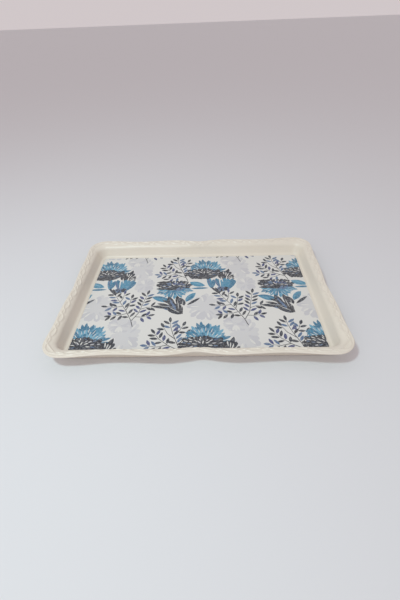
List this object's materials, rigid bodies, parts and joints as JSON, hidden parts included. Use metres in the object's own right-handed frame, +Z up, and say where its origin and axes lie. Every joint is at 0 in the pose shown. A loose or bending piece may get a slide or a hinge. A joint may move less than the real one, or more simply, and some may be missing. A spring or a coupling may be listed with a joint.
{
  "type": "serving tray",
  "caption": "Rectangular serving tray with a shallow well, drafted walls, a broad wavy-edged lip and a printed film set into its floor.",
  "frame": {"origin": "centre of the foot ring, on the surface that the tray stands on", "axes": "+X along the long side, +Y along the short side, +Z up out of the well; the tray is the same front to back and side to side"},
  "size_m": [0.449, 0.3216, 0.0288],
  "materials": {
    "tray_plastic": "glossy cream moulded plastic",
    "film_print": "glossy off-white film printed with a blue and charcoal floral pattern"
  },
  "bodies": {
    "root": {"tray_body": "tray_plastic", "printed_film": "film_print"}
  },
  "joints": []
}
